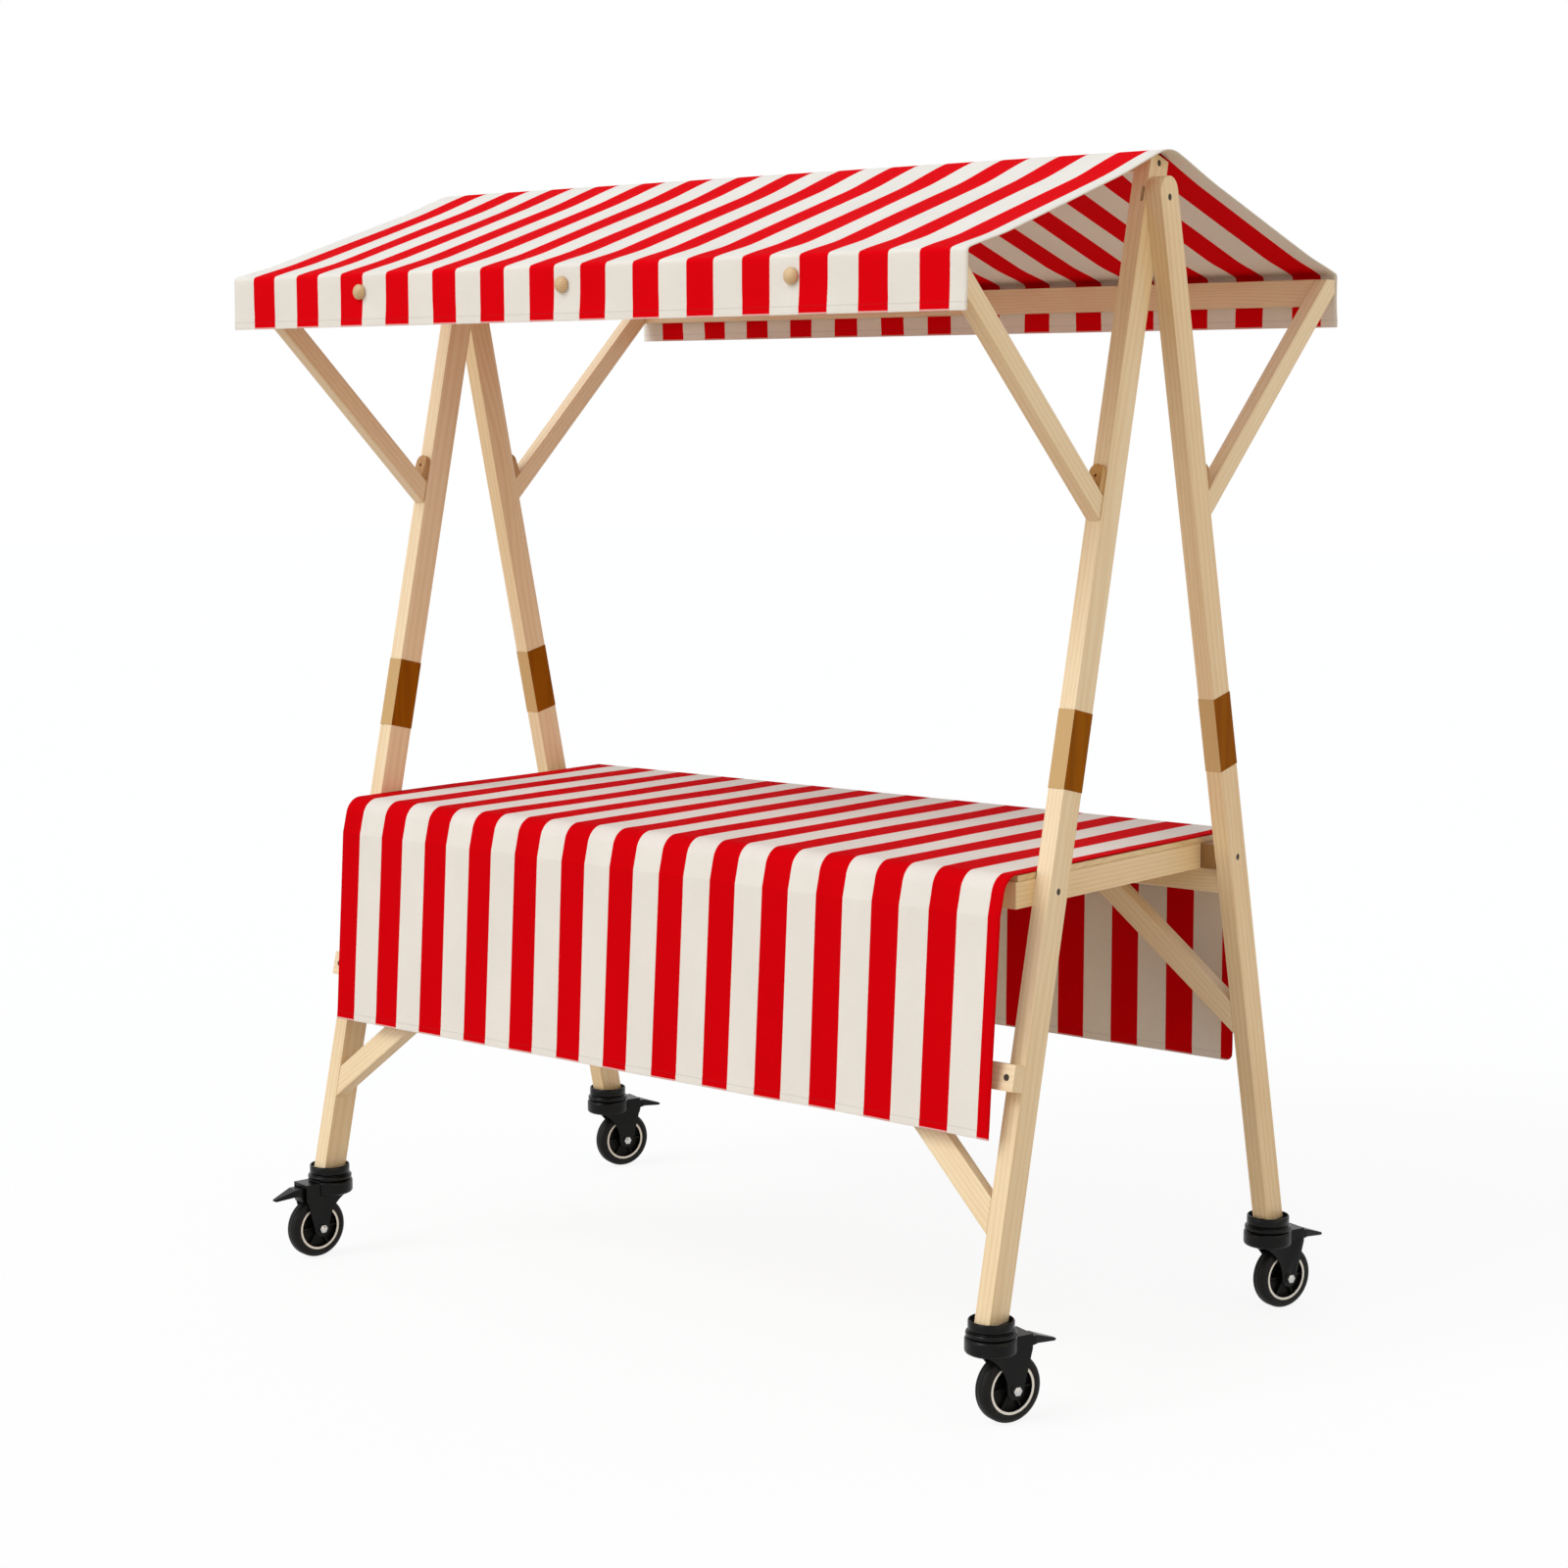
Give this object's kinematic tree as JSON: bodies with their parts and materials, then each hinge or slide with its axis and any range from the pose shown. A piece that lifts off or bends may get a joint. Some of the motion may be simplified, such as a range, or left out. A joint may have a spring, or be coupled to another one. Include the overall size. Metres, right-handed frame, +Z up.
{
  "type": "market stall",
  "caption": "Wooden market stall with scissor A-frame ends, a red and white striped ridge canopy, a table with a striped cloth and braked swivel castors.",
  "frame": {"origin": "on the ground, midway between the two trestles and midway between the front and back feet", "axes": "+X along the ridge to the customer's right, +Y away from the customer, +Z up"},
  "size_m": [1.8433, 1.2374, 2.1993],
  "materials": {
    "pale_wood": "satin clear lacquer over pale softwood",
    "golden_wood": "satin clear lacquer over darker wood",
    "board_wood": "plain planed board",
    "peg_wood": "turned and lacquered",
    "brown_band": "brown stained",
    "striped_cloth": "woven red and white stripes, matt",
    "dark_steel": "darkened steel",
    "zinc_steel": "bright zinc",
    "black_steel": "black stove enamel",
    "black_plastic": "black moulded plastic",
    "white_plastic": "white moulded plastic",
    "tyre_rubber": "dull black rubber"
  },
  "bodies": {
    "frame": {"front_left_leg": "pale_wood", "front_right_leg": "pale_wood", "back_left_leg": "pale_wood", "back_right_leg": "pale_wood", "front_eave_rail": "pale_wood", "back_eave_rail": "pale_wood", "front_left_eave_brace": "pale_wood", "front_right_eave_brace": "pale_wood", "back_left_eave_brace": "pale_wood", "back_right_eave_brace": "pale_wood", "left_end_rail": "pale_wood", "right_end_rail": "pale_wood", "front_table_rail": "pale_wood", "back_table_rail": "pale_wood", "back_knee_braces": "pale_wood", "lower_front_rail": "pale_wood", "front_knee_braces": "pale_wood", "ridge_pole": "pale_wood", "leg_bands": "brown_band", "brace_wedges": "golden_wood", "rail_spacers": "golden_wood", "canopy": "striped_cloth", "table_cloth": "striped_cloth", "canopy_pegs": "peg_wood", "table_board": "board_wood", "frame_bolts": "dark_steel", "castor_cups": "black_steel"},
    "front_left_fork": {"front_left_castor_fork": "black_steel", "front_left_castor_axle": "zinc_steel"},
    "front_left_wheel": {"front_left_castor_tyre": "tyre_rubber", "front_left_castor_hub": "black_plastic", "front_left_castor_ring": "white_plastic"},
    "front_left_pedal": {"front_left_castor_pedal": "black_steel"},
    "front_right_fork": {"front_right_castor_fork": "black_steel", "front_right_castor_axle": "zinc_steel"},
    "front_right_wheel": {"front_right_castor_tyre": "tyre_rubber", "front_right_castor_hub": "black_plastic", "front_right_castor_ring": "white_plastic"},
    "front_right_pedal": {"front_right_castor_pedal": "black_steel"},
    "back_left_fork": {"back_left_castor_fork": "black_steel", "back_left_castor_axle": "zinc_steel"},
    "back_left_wheel": {"back_left_castor_tyre": "tyre_rubber", "back_left_castor_hub": "black_plastic", "back_left_castor_ring": "white_plastic"},
    "back_left_pedal": {"back_left_castor_pedal": "black_steel"},
    "back_right_fork": {"back_right_castor_fork": "black_steel", "back_right_castor_axle": "zinc_steel"},
    "back_right_wheel": {"back_right_castor_tyre": "tyre_rubber", "back_right_castor_hub": "black_plastic", "back_right_castor_ring": "white_plastic"},
    "back_right_pedal": {"back_right_castor_pedal": "black_steel"}
  },
  "joints": [
    {"name": "front_left_swivel", "type": "hinge", "parent": "frame", "child": "front_left_fork", "pos_m": [-0.842, -0.445, 0.182], "axis": [0, 0, 1], "continuous": true},
    {"name": "front_left_roll", "type": "hinge", "parent": "front_left_fork", "child": "front_left_wheel", "pos_m": [-0.84825, -0.48045, 0.0625], "axis": [0.9848, -0.1736, 0], "continuous": true},
    {"name": "front_left_brake", "type": "hinge", "parent": "front_left_fork", "child": "front_left_pedal", "pos_m": [-0.85303, -0.50753, 0.1447], "axis": [0.9848, -0.1736, 0], "range_deg": [0, 12]},
    {"name": "front_right_swivel", "type": "hinge", "parent": "frame", "child": "front_right_fork", "pos_m": [0.842, -0.445, 0.182], "axis": [0, 0, 1], "continuous": true},
    {"name": "front_right_roll", "type": "hinge", "parent": "front_right_fork", "child": "front_right_wheel", "pos_m": [0.85431, -0.41117, 0.0625], "axis": [-0.9397, 0.342, 0], "continuous": true},
    {"name": "front_right_brake", "type": "hinge", "parent": "front_right_fork", "child": "front_right_pedal", "pos_m": [0.86372, -0.38533, 0.1447], "axis": [-0.9397, 0.342, 0], "range_deg": [0, 12]},
    {"name": "back_left_swivel", "type": "hinge", "parent": "frame", "child": "back_left_fork", "pos_m": [-0.874, 0.445, 0.182], "axis": [0, 0, 1], "continuous": true},
    {"name": "back_left_roll", "type": "hinge", "parent": "back_left_fork", "child": "back_left_wheel", "pos_m": [-0.86169, 0.47883, 0.0625], "axis": [-0.9397, 0.342, 0], "continuous": true},
    {"name": "back_left_brake", "type": "hinge", "parent": "back_left_fork", "child": "back_left_pedal", "pos_m": [-0.85228, 0.50467, 0.1447], "axis": [-0.9397, 0.342, 0], "range_deg": [0, 12]},
    {"name": "back_right_swivel", "type": "hinge", "parent": "frame", "child": "back_right_fork", "pos_m": [0.874, 0.445, 0.182], "axis": [0, 0, 1], "continuous": true},
    {"name": "back_right_roll", "type": "hinge", "parent": "back_right_fork", "child": "back_right_wheel", "pos_m": [0.88631, 0.47883, 0.0625], "axis": [-0.9397, 0.342, 0], "continuous": true},
    {"name": "back_right_brake", "type": "hinge", "parent": "back_right_fork", "child": "back_right_pedal", "pos_m": [0.89572, 0.50467, 0.1447], "axis": [-0.9397, 0.342, 0], "range_deg": [0, 12]}
  ]
}
